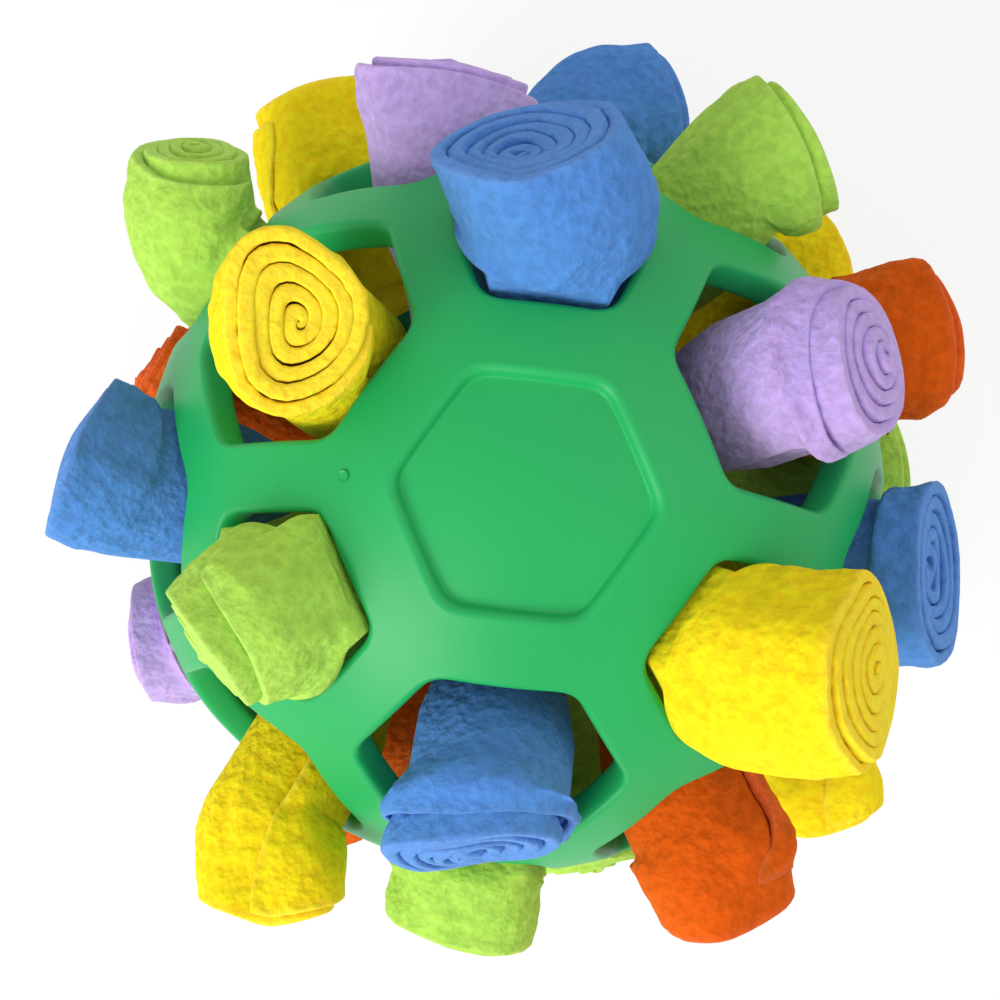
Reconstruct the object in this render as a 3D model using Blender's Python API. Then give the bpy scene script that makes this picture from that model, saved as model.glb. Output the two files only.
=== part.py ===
"""Snuffle ball: a moulded rubber lattice ball with a wound strip of fleece in each of its openings.

Metres, +Z up. The origin is on the floor under the middle of the whole, rolls and all. The upper closed
panel faces +Z, and one of the three five-sided openings next to it looks toward +Y.
"""

import math

import bmesh
import bpy
from mathutils import Color, Matrix, Vector

# Rubber ball
BALL_RADIUS = 0.065
BALL_WALL = 0.0055
BALL_HEIGHT = 0.070  # the ball's middle above the floor
BALL_SETBACK = 0.0060  # the ball's middle toward -Y, because the rolls reach further toward +Y
BAR_HALF = 0.0054  # half the width of a bar between two openings
OPENING_CORNER = 0.0032
LIP_RADIUS = 0.0011
RECESS_DEPTH = 0.0013
RECESS_FLAT = 0.0090  # radius of the flat middle of a closed panel

BALL_MIDDLE = Vector((0, -BALL_SETBACK, BALL_HEIGHT))

# Wound fleece strips
STRIP_WIDTH = 0.0420  # the strip's width, which is the length of its roll
FLEECE = 0.0022  # one layer of fleece, which is how much a turn adds to the radius
SHAFT_RADIUS = 0.0134  # the part of a roll that passes a six-sided opening
HEAD_RADIUS = 0.0139  # the part that stands outside the ball
INNER_RADIUS = 0.0095  # the crushed inner end
CORE_RADIUS = 0.0040  # the least radius of the innermost turn
STAND_OUT = 0.0195  # how far a straight roll stands out of the ball
TURN_STEP = 0.0009  # how far one turn's edge stands beyond the next
SEAT_GAP = 0.0003  # between a roll and the bar that it leans on
FLOOR_CUT = 0.0005  # how deep the lowest rolls are pressed flat

# Shapes, as shares of the sizes above
BEND_SHARE = 1.1  # a roll's bending radius, of its thickest shaft's radius
BULGE_SHARE = 0.4  # where a head is widest, of its length
TIP_SHARE = 0.96  # a roll's radius at its tip, of its head's radius
SHAFT_LEAN_SHARE = 0.35  # how much of a lean the shaft takes where the opening is wide enough
MOST_SHAFT_LEAN = math.radians(13)
SEAM_SLANT = math.radians(30)
SEAM_TURN = math.radians(80)
STANDING = -0.7  # an opening that looks down more than this has a roll that the toy stands on
SHARP = math.radians(40)  # edges that turn more than this are drawn sharp
NUDGE = 1e-6  # a roll that leans to no side is seated on the clockwise one

PER_TURN = 12  # points in one turn of a spiral
CUTS = 3  # points added on each side of a face

# One row for each strip, from the top of the ball down and anticlockwise from +Y in each ring: its
# colour, its lean toward the top and clockwise in degrees, and then shares of STAND_OUT, of
# HEAD_RADIUS, of the thickest shaft that its opening takes, and of TURN_STEP, which is above zero
# where the turns step out toward the middle.
ROLL_SHARES = (
    ("lime", -26, -16, 0.66, 0.97, 1.00, 0.7),
    ("yellow", -10, -32, 1.04, 1.07, 1.00, 0.8),
    ("blue", -12, -34, 0.85, 1.05, 1.00, -1.2),
    ("yellow", 52, 0, 1.03, 0.89, 1.00, -0.8),
    ("blue", -17, 7, 0.40, 1.03, 1.00, 0.7),
    ("purple", -11, 6, 0.55, 0.99, 1.00, 1.4),
    ("purple", 8, 24, 0.53, 0.97, 1.00, 0.8),
    ("blue", 18, 23, 0.71, 0.95, 1.00, -0.8),
    ("yellow", 12, -44, 0.97, 0.86, 1.00, 0.8),
    ("orange", -17, 16, 0.79, 1.01, 1.00, 0.7),
    ("blue", 14, -17, 0.58, 1.07, 1.00, -0.9),
    ("lime", 5, 33, 0.77, 0.90, 1.00, 0.8),
    ("lime", 7, 53, 1.04, 0.86, 0.78, 0.7),
    ("lime", -13, 3, 0.51, 0.91, 1.00, 0.9),
    ("orange", -3, 10, 0.72, 0.94, 1.00, 0.8),
    ("purple", 22, 13, 0.50, 0.87, 1.00, 0.9),
    ("yellow", -3, 35, 1.25, 0.88, 1.00, -0.8),
    ("blue", -11, 62, 1.38, 0.86, 0.78, 0.8),
    ("yellow", 16, 16, 1.16, 1.02, 1.00, 0.8),
    ("orange", 30, 14, 0.50, 0.96, 1.00, 0.9),
    ("orange", -14, 3, 0.70, 0.87, 1.00, -0.8),
    ("lime", 32, 5, 0.42, 0.94, 1.00, 0.8),
    ("lime", 23, -5, 0.61, 1.00, 1.00, 0.9),
    ("yellow", 15, 14, 0.84, 1.00, 1.00, 0.8),
    ("orange", 0, 0, 0.80, 1.00, 1.00, -0.7),
    ("purple", 0, 0, 0.80, 1.00, 1.00, -0.7),
    ("purple", 0, 0, 0.80, 1.00, 1.00, -0.7),
    ("blue", 0, 0, 0.70, 1.00, 1.00, -0.7),
    ("purple", 0, 0, 0.70, 1.00, 1.00, -0.7),
    ("orange", 0, 0, 0.70, 1.00, 1.00, -0.7),
)

RUBBER_ROUGHNESS = 0.45
FLEECE_ROUGHNESS = 0.95
RUBBER_GREEN = (52, 180, 104)
FLEECE_COLOURS = {
    "yellow": (250, 215, 30),
    "blue": (75, 130, 205),
    "purple": (180, 150, 220),
    "lime": (150, 205, 75),
    "orange": (215, 85, 15),
}


def material(name, screen_colour, roughness):
    """A plain Principled material from a colour as a screen shows it, from 0 to 255."""
    made = bpy.data.materials.new(name)
    made.use_nodes = True
    shader = made.node_tree.nodes["Principled BSDF"]
    linear = Color([c / 255 for c in screen_colour]).from_srgb_to_scene_linear()
    shader.inputs["Base Color"].default_value = (*linear, 1)
    shader.inputs["Roughness"].default_value = roughness
    shader.inputs["Metallic"].default_value = 0
    made.diffuse_color = (*linear, 1)
    return made


def add_object(name, bm, skin_material, place):
    """Makes the object of a finished mesh, shaded smooth with sharp edges kept."""
    bmesh.ops.recalc_face_normals(bm, faces=bm.faces[:])
    if bm.calc_volume(signed=True) < 0:
        bmesh.ops.reverse_faces(bm, faces=bm.faces[:])
    mesh = bpy.data.meshes.new(name)
    bm.to_mesh(mesh)
    bm.free()
    mesh.shade_smooth()
    mesh.set_sharp_from_angle(angle=SHARP)
    mesh.materials.append(skin_material)
    made = bpy.data.objects.new(name, mesh)
    made.matrix_world = place
    bpy.context.scene.collection.objects.link(made)
    return made


def cage():
    """The ball's lattice on a unit sphere: twelve five-sided and twenty six-sided faces.

    It is turned so that one six-sided face looks up and a five-sided one beside it looks toward +Y.
    """
    bm = bmesh.new()
    bmesh.ops.create_icosphere(bm, subdivisions=1, radius=1)
    third = {"offset": 100 / 3, "offset_type": "PERCENT"}
    bmesh.ops.bevel(bm, geom=bm.verts[:], affect="VERTICES", segments=1, **third)
    top = next(f for f in bm.faces if len(f.verts) == 6)
    beside = next(f for e in top.edges for f in e.link_faces if len(f.verts) == 5)
    up = top.calc_center_median().normalized()
    ahead = beside.calc_center_median()
    ahead = (ahead - up * ahead.dot(up)).normalized()
    turn = Matrix((ahead.cross(up), ahead, up))
    bmesh.ops.rotate(bm, verts=bm.verts[:], cent=(0, 0, 0), matrix=turn)
    bmesh.ops.bisect_edges(bm, edges=bm.edges[:], cuts=CUTS)
    for v in bm.verts:
        v.co.normalize()
    return bm


def ring_order(face):
    """Sorts faces from the top down and anticlockwise from +Y in each ring."""
    middle = face.calc_center_median().normalized()
    clockwise = round(math.degrees(math.atan2(middle.x, middle.y)), 1) % 360
    return -round(middle.z, 3), -clockwise


def boundary(face):
    """The face's points in order, starting at a corner."""
    points = list(face.verts)
    first = next(k for k, v in enumerate(points) if len(v.link_edges) == 3)
    return points[first:] + points[:first]


class Opening:
    """A face of the lattice, seen from the ball's middle."""

    def __init__(self, face):
        corners = [v.co * BALL_RADIUS for v in boundary(face)[:: CUTS + 1]]
        self.sides = len(corners)
        self.middle = sum(corners, Vector()) / self.sides
        self.out = self.middle.normalized()
        self.spokes = [(c - self.middle).normalized() for c in corners]
        self.across = [(a + b).normalized() for a, b in zip(self.spokes, self.spokes[1:] + self.spokes[:1])]
        self.apothem = (corners[0] - self.middle).length * math.cos(math.pi / self.sides)
        self.slope = math.atan((self.apothem - BAR_HALF) / self.middle.length)

    def outline(self, inset, corner):
        """The face moved in by inset, with rounded corners, four points to a side, on the flat face."""
        half = math.pi / self.sides
        reach = (self.apothem - inset) / math.cos(half)
        trim = corner * math.tan(half)
        points = []
        for k in range(self.sides):
            here = self.middle + self.spokes[k] * reach
            there = self.middle + self.spokes[(k + 1) % self.sides] * reach
            along = (there - here).normalized()
            points.append(here - self.spokes[k] * (corner / math.cos(half) - corner))
            points.append(here + along * trim)
            points.append((here + there) / 2)
            points.append(there - along * trim)
        return points

    def circle(self, radius):
        """A circle about the face's middle, with a point for each point of the outline."""
        count = self.sides * (CUTS + 1)
        side = self.out.cross(self.spokes[0])
        angles = [math.tau * k / count for k in range(count)]
        return [self.middle + (self.spokes[0] * math.cos(a) + side * math.sin(a)) * radius for a in angles]


def on_sphere(bm, points, radius):
    return [bm.verts.new(p.normalized() * radius) for p in points]


def band(bm, first, second):
    """Joins two rings of as many points."""
    for k in range(len(first)):
        bm.faces.new((first[k - 1], first[k], second[k], second[k - 1]))


def rubber_ball(lattice, openings):
    """One moulding: bars of an even width round the openings, and two closed panels with a recess."""
    bm = bmesh.new()
    inside = BALL_RADIUS - BALL_WALL
    outer = {v: bm.verts.new(v.co * BALL_RADIUS) for v in lattice.verts}
    inner = {v: bm.verts.new(v.co * inside) for v in lattice.verts}
    lip_turn = LIP_RADIUS * (1 - math.cos(math.pi / 4))
    for face, opening in openings:
        edge = [outer[v] for v in boundary(face)]
        back = [inner[v] for v in boundary(face)]
        lip_outline = opening.outline(BAR_HALF - LIP_RADIUS, OPENING_CORNER + LIP_RADIUS)
        lip_start = on_sphere(bm, lip_outline, BALL_RADIUS)
        turned_outline = opening.outline(BAR_HALF - lip_turn, OPENING_CORNER)
        lip_middle = on_sphere(bm, turned_outline, BALL_RADIUS - lip_turn)
        wall_top = on_sphere(bm, opening.outline(BAR_HALF, OPENING_CORNER), BALL_RADIUS - LIP_RADIUS)
        band(bm, edge, lip_start)
        band(bm, lip_start, lip_middle)
        band(bm, lip_middle, wall_top)
        if abs(opening.out.z) < math.cos(opening.slope):
            wall_foot = on_sphere(bm, opening.outline(BAR_HALF, OPENING_CORNER), inside)
            band(bm, wall_top, wall_foot)
            band(bm, wall_foot, back)
            continue
        floor = BALL_RADIUS - RECESS_DEPTH
        floor_edge = on_sphere(bm, opening.outline(BAR_HALF + LIP_RADIUS, OPENING_CORNER), floor)
        flat = on_sphere(bm, opening.circle(RECESS_FLAT), floor)
        behind = on_sphere(bm, opening.circle(RECESS_FLAT), inside)
        band(bm, wall_top, floor_edge)
        band(bm, floor_edge, flat)
        bm.faces.new(flat)
        band(bm, back, behind)
        bm.faces.new(behind)
    return bm


class Roll:
    """A wound strip in one opening, in its own frame: Z is the line that it slides out along."""

    def __init__(self, opening, form, seam_turn):
        lean_up, lean_round, out_share, head_share, shaft_share, step_share = form
        self.opening = opening
        self.head = HEAD_RADIUS * head_share
        self.step = TURN_STEP * step_share
        lean = math.radians(math.hypot(lean_up, lean_round))
        wall_middle = (BALL_RADIUS - BALL_WALL / 2) * math.cos(opening.slope)
        seat_room = (BALL_RADIUS - BALL_WALL) * math.sin(opening.slope) - SEAT_GAP / math.cos(opening.slope)
        widest = min(SHAFT_RADIUS, seat_room, self.head)
        self.shaft = widest * shaft_share
        self.bend_radius = widest * BEND_SHARE
        free = seat_room > SHAFT_RADIUS
        shaft_lean = min(lean * SHAFT_LEAN_SHARE, MOST_SHAFT_LEAN) if free else 0
        self.bend = lean - shaft_lean
        up = (Vector((0, 0, 1)) - opening.out * opening.out.z).normalized()
        clockwise = opening.out.cross(up)
        leaning = lean_up or lean_round
        toward = (up * lean_up + clockwise * lean_round).normalized() if leaning else up
        self.axis = opening.out * math.cos(shaft_lean) + toward * math.sin(shaft_lean)
        first = (up - self.axis * up.dot(self.axis)).normalized()
        self.turned = Matrix((first, self.axis.cross(first), self.axis)).transposed()
        flat_toward = self.turned.transposed() @ toward
        self.lean_angle = math.atan2(flat_toward.y, flat_toward.x)
        self.neck = BALL_WALL / 2 + LIP_RADIUS + self.shaft * math.tan(shaft_lean)
        seat = max(opening.across, key=(toward + clockwise * NUDGE).dot)
        flat_seat = self.turned.transposed() @ seat
        self.seam = math.atan2(flat_seat.y, flat_seat.x) + (seam_turn if free else 0)
        self.middle = opening.out * wall_middle
        self.middle += seat * self.room_beside(seat)
        self.set_stand_out(STAND_OUT * out_share)

    def room_beside(self, seat):
        """How far the shaft can move sideways before it meets the bar on that side."""
        slope = self.opening.slope
        out = self.opening.out
        room = []
        for level in (BALL_RADIUS - BALL_WALL, BALL_RADIUS):
            height = level * math.cos(slope)
            limit = height * math.tan(slope) - SEAT_GAP / math.cos(slope)
            for x, y in self.spiral(self.shaft, self.seam):
                start = self.middle + self.turned @ Vector((x, y, 0))
                at_height = start + self.axis * ((height - start.dot(out)) / self.axis.dot(out))
                room.append(limit - at_height.dot(seat))
        return min(room)

    def set_stand_out(self, stand_out):
        self.stand_out = stand_out
        self.tip = BALL_RADIUS + stand_out - self.middle.dot(self.opening.out)

    def place(self):
        """The roll's frame in the world."""
        return Matrix.Translation(self.middle + BALL_MIDDLE) @ self.turned.to_4x4()

    def spiral(self, outer, seam, turns=1):
        """Points of the last turns of a spiral that ends at the seam, from the inside out."""
        layer = FLEECE * outer / self.head
        count = turns * PER_TURN
        points = []
        for k in range(count + 1):
            radius = outer - layer * (count - k) / PER_TURN
            angle = seam + math.tau * k / PER_TURN
            points.append((radius * math.cos(angle), radius * math.sin(angle)))
        return points

    def section(self, centre, tilt, outer, seam, turns=1, rises=None):
        """A spiral's points on a slice of the roll that is tilted toward its lean."""
        toward = Vector((math.cos(self.lean_angle), math.sin(self.lean_angle), 0))
        across = Vector((-toward.y, toward.x, 0))
        up = Vector((0, 0, 1))
        ahead = toward * math.cos(tilt) - up * math.sin(tilt)
        out = up * math.cos(tilt) + toward * math.sin(tilt)
        flat = [Vector((x, y, 0)) for x, y in self.spiral(outer, seam, turns)]
        rises = rises or [0] * len(flat)
        turned = [centre + ahead * p.dot(toward) + across * p.dot(across) for p in flat]
        return [p + out * rise for p, rise in zip(turned, rises)]

    def along(self, length):
        """The point so far along the head's middle line, which bends first and then runs straight."""
        angle = min(length / self.bend_radius, self.bend)
        straight = max(length - self.bend_radius * self.bend, 0)
        ahead = self.bend_radius * (1 - math.cos(angle)) + straight * math.sin(angle)
        out = self.neck + self.bend_radius * math.sin(angle) + straight * math.cos(angle)
        return Vector((math.cos(self.lean_angle) * ahead, math.sin(self.lean_angle) * ahead, out))

    def mesh(self):
        """The closed solid: a tapered shaft, a head that bends over the bar, and a tip in spiral steps."""
        bm = bmesh.new()
        neck_top = Vector((0, 0, self.neck))
        bulge = max(self.bend_radius * self.bend, (self.tip - self.neck) * BULGE_SHARE)
        slices = (
            (Vector((0, 0, self.tip - STRIP_WIDTH)), 0, min(INNER_RADIUS, self.shaft), 0),
            (Vector((0, 0, -self.neck)), 0, self.shaft, 0),
            (neck_top, 0, self.shaft, 0),
            (self.along(bulge), self.bend, self.head, SEAM_SLANT / 2),
        )
        rings = []
        for centre, tilt, outer, slant in slices:
            points = self.section(centre, tilt, outer, self.seam + slant)
            rings.append([bm.verts.new(p) for p in points])
        for low, high in zip(rings, rings[1:]):
            band(bm, low, high)
        bm.faces.new(rings[0])
        self.add_tip(bm, rings[-1], self.along(self.tip - self.neck))
        return bm

    def add_tip(self, bm, rim, centre):
        """The strip's wound edge: each turn is a step higher or lower than the turn round it."""
        outer = self.head * TIP_SHARE
        turns = max(1, math.floor((outer - CORE_RADIUS) / FLEECE))
        count = turns * PER_TURN
        seam = self.seam + SEAM_SLANT
        rises = [self.step * (count - k) / PER_TURN for k in range(count + 1)]
        edge = [bm.verts.new(p) for p in self.section(centre, self.bend, outer, seam, turns, rises)]
        foot = {}
        inner_rises = rises[PER_TURN:] + [0] * PER_TURN
        for k, p in enumerate(self.section(centre, self.bend, outer, seam, turns, inner_rises)):
            if k <= count - PER_TURN:
                foot[k + PER_TURN] = bm.verts.new(p)
        bm.faces.new(edge[: PER_TURN + 1] + [foot[PER_TURN]])
        for k in range(PER_TURN, count):
            bm.faces.new((edge[k], edge[k + 1], foot[k + 1], foot[k]))
            bm.faces.new((foot[k], foot[k + 1], edge[k + 1 - PER_TURN], edge[k - PER_TURN]))
        top = edge[count - PER_TURN :]
        for k in range(PER_TURN):
            bm.faces.new((rim[k], rim[k + 1], top[k + 1], top[k]))
        bm.faces.new((rim[PER_TURN], rim[0], top[0], foot[count], top[PER_TURN]))

    def press_on_floor(self):
        """Lets the roll reach the floor and flattens it there."""
        bm = self.mesh()
        lowest = min((self.place() @ v.co).z for v in bm.verts)
        bm.free()
        self.set_stand_out(self.stand_out + (lowest + FLOOR_CUT) / -self.axis.z)
        bm = self.mesh()
        back = self.place().inverted()
        floor_normal = back.to_3x3() @ Vector((0, 0, 1))
        everything = bm.verts[:] + bm.edges[:] + bm.faces[:]
        cut = bmesh.ops.bisect_plane(
            bm, geom=everything, plane_co=back @ Vector(), plane_no=floor_normal, clear_inner=True
        )
        rim = [piece for piece in cut["geom_cut"] if isinstance(piece, bmesh.types.BMEdge)]
        bmesh.ops.contextual_create(bm, geom=rim)
        return bm


def build():
    for old in list(bpy.data.objects):
        bpy.data.objects.remove(old, do_unlink=True)
    lattice = cage()
    faces = sorted(lattice.faces, key=ring_order)
    openings = [(face, Opening(face)) for face in faces]
    rubber = material("rubber_green", RUBBER_GREEN, RUBBER_ROUGHNESS)
    fleeces = {}
    for name, colour in FLEECE_COLOURS.items():
        fleeces[name] = material("fleece_" + name, colour, FLEECE_ROUGHNESS)
    add_object("rubber_ball", rubber_ball(lattice, openings), rubber, Matrix.Translation(BALL_MIDDLE))
    count = dict.fromkeys(FLEECE_COLOURS, 0)
    for k, (colour, *form) in enumerate(ROLL_SHARES):
        opening = openings[k + 1][1]
        standing = opening.out.z < STANDING
        roll = Roll(opening, form, 0 if standing else SEAM_TURN * k)
        bm = roll.press_on_floor() if standing else roll.mesh()
        count[colour] += 1
        add_object(f"fleece_{colour}_{count[colour]}", bm, fleeces[colour], roll.place())
    lattice.free()


build()
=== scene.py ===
"""How the snuffle ball looks: a moulded rubber lattice ball with a wound strip of fleece in each opening.

Metres, in the frame of the solids. The rubber ball is modelled with Blender's own tools. Each strip is a
sheet wound on a spiral, which follows its solid's line through the opening and over the bar.
"""

import math

import bmesh
import bpy
import numpy as np
from mathutils import Matrix, Vector


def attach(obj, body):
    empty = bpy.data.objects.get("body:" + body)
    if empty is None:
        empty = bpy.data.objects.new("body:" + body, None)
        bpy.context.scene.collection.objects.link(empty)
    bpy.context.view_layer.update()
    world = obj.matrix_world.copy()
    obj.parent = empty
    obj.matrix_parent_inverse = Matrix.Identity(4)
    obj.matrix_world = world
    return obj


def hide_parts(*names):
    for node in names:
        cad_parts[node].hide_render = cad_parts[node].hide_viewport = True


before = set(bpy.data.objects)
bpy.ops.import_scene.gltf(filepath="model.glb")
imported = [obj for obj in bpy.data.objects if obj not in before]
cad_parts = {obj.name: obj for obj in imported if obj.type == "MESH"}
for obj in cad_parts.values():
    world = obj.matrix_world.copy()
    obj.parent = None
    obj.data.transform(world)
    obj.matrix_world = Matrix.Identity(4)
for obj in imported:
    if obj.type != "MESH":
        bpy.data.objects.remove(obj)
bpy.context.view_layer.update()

# Sizes that the solids share
BALL_RADIUS = 0.065
BALL_WALL = 0.0055
BALL_MIDDLE = Vector((0, -0.006, 0.070))
BAR_HALF = 0.0054
LIP = 0.0011
STRIP_WIDTH = 0.0420
FLEECE = 0.0022
SHAFT_RADIUS = 0.0134
HEAD_RADIUS = 0.0139
INNER_RADIUS = 0.0095
STAND_OUT = 0.0195
TURN_STEP = 0.0009
SEAT_GAP = 0.0003
FLOOR_CUT = 0.0005
BEND_SHARE = 1.1  # a bend's radius, in shares of the widest shaft that its opening takes
BULGE_SHARE = 0.4  # a roll is widest after its bend, and no sooner than this share of the way to its tip
TIP_SHARE = 0.96  # a tip's width, in shares of its head's
SHAFT_LEAN_SHARE = 0.35  # how much of a lean the shaft takes, and the bend takes the rest
MOST_SHAFT_LEAN = math.radians(13)
SEAM_SLANT = math.radians(30)  # how far the free end turns round the roll from the opening to the tip
STANDING = -0.7  # the toy stands on the rolls whose openings look down by more than this
NUDGE = 1e-6  # picks the same bar where several are as near

# Sizes of the ball's looks
CORNER_RADIUS = 0.0042  # at the corners of the openings and of the closed panels
CLOSED_WITHIN = math.radians(25)  # panels nearer than this to straight up or down are closed
SHARP = math.radians(60)  # edges sharper than this get a lip

# Sizes of the strips' looks
CORE_RADIUS = 0.0005
FILL_SHARE = 1.4  # how far a squeezed shaft swells into the corners of a five-sided opening
CUT_EDGE = 0.0007  # how far in from its cut edge a strip is rounded
NAP = 0.0008  # how far the fleece's nap stands out from its solid
THIN_SHARE = 0.4  # a strip's thickness where its free end is pressed flat
BLUNT_SHARE = 0.55  # and how wide its rounded cut edge still is at its very end
STEP_SHARE = 0.5  # how much of a solid's step from turn to turn the looks take
SWELL = 0.0045  # how far above an opening a strip has swollen to its full width
SLOW_SWELL = 0.7  # the power by which it swells more slowly on the side that it leans to
FAR_SIDE = 0.75  # how much of its far side swells at once
NEARLY_STRAIGHT = 0.35  # a roll that bends less than this, in radians, swells sooner all round
RISEN = 2 * FLEECE  # how far above an opening the nap and the relief have risen in full
LEAST_AHEAD = 0.05  # a bar doesn't hold the roll in a direction that points less than this toward it
NO_BAR = 1.0  # the room where no bar holds the roll
SET_FREE = 2  # how quickly the room grows above and below the bars

# Where a strip's points lie
OUTER_TURN = 120  # columns of points in the outer turn
INNER_TURN = 30  # and in each turn under it
LAST_COLUMNS = (0.008, 0.004, 0.002, 0.0008, 0)  # beside the free end, in turns from it
ROW = 0.00085  # from row to row, outside the ball
OPENING_ROWS = 6
INNER_ROWS = 4
INNER_GAP = 4  # from the inner end to the first of those, in cut edges
TIP_ROWS = np.array((0.6, 0.3, 0.1, 0))  # from the tip, in cut edges
LEAST_REACH = 0.0001  # from any point to the roll's middle line

# How loosely a strip is wound
WAVE_TURNS = 0.7  # from rise to rise along its edge at the tip
WAVE_RISE = 0.00022
SET_BACK_POWER = 1.6
PRESSED_TURNS = 0.1  # how much of a turn the free end is pressed flat for
LIFTED_TURNS = 0.3  # and lifted for
PRESSED_EDGE = 2 * FLEECE  # how far in a set-back edge is pressed flat, and the set-back that does so fully
TIGHT_TURNS = 0.9  # from one tight place to the next along the strip
TIGHT_ACROSS = 30  # how many turns a metre across the strip counts for in that
TIGHT_SHARE = 0.05  # how much the thickness changes with it
TIGHT_RANGE = (-1.5, 0.5)
BENT_WAVE = 0.022  # from bend to bend of the layers at the tip
BENT_WAYS = 5  # in how many directions they bend
BENT_ASIDE = 0.0007
FUZZ_EDGE = 0.0012  # how far in from a cut edge the cut fibres show

# Relief on a strip's outer turns
LUMP_WAVE = 0.016
LUMP_RISE = 0.0004
TUFTS = ((0.0065, 16, 0.00020, 150), (0.0036, 24, 0.00012, 180))  # wave, directions, rise and seed
TUFT_LEVEL = 0.8  # taken off the tufts, so that the creases between them sink in
PUCKERS = 9  # round the roll, above its opening
PUCKER_SWAY = 3  # how far they stray round it, in radians
PUCKER_WAVE = 0.02  # from stray to stray
PUCKER_RISE = 0.0004
PUCKER_PLACE = 0.003  # above the opening
PUCKER_REACH = 0.0035
FOLD_WAVE = 0.0055  # from fold to fold inside the bend
FOLD_RISE = 0.0005
FOLD_STOP = 0.006  # how far short of the tip the folds end
FOLD_FADE = 0.004
CALM_FROM, CALM_BY = 1.6, 2  # how the relief dies down inside a tight bend

# The chance patterns: how many waves make one, how much those differ in length, and what each adds to
# the strip's number for its seed
RIPPLE_WAYS = 9
RIPPLE_SPREAD = (0.7, 1.3)
TIGHT_SEED = 50
LUMP_SEED = 100
PUCKER_SEED = 200
BENT_SEEDS = (300, 400)

# How the closed panels sink from the bars round them: how far down, and how far in
PANEL_STEPS = (
    (-0.00006, 0.0004),
    (-0.00006, 0.0007),
    (0.00012, 0.0011),
    (0.00042, 0.0014),
    (0.00112, 0.0016),
    (0.00132, 0.00175),
    (0.00130, 0.0022),
)
PANEL_REACH = 0.0185  # from a closed panel's middle to its edge, about

# The small round mark that the mould leaves on a bar beside the upper closed panel
MARK_SIDES = 32
MARK_RADIUS = 0.00085
MARK_RISE = 0.00025
MARK_ROOT = 0.0006  # how deep it goes into the bar
MARK_RIM = 0.0003
MARK_DISH = 0.0002
MARK_ROUNDING = 0.00006
MARK_SHARP = math.radians(20)  # edges sharper than this are rounded
MARK_TOP = 0.9  # its top looks up by more than this
MARK_DOWN = math.radians(23.6)  # from straight up
MARK_ROUND = math.radians(269.3)  # clockwise from +Y

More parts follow.
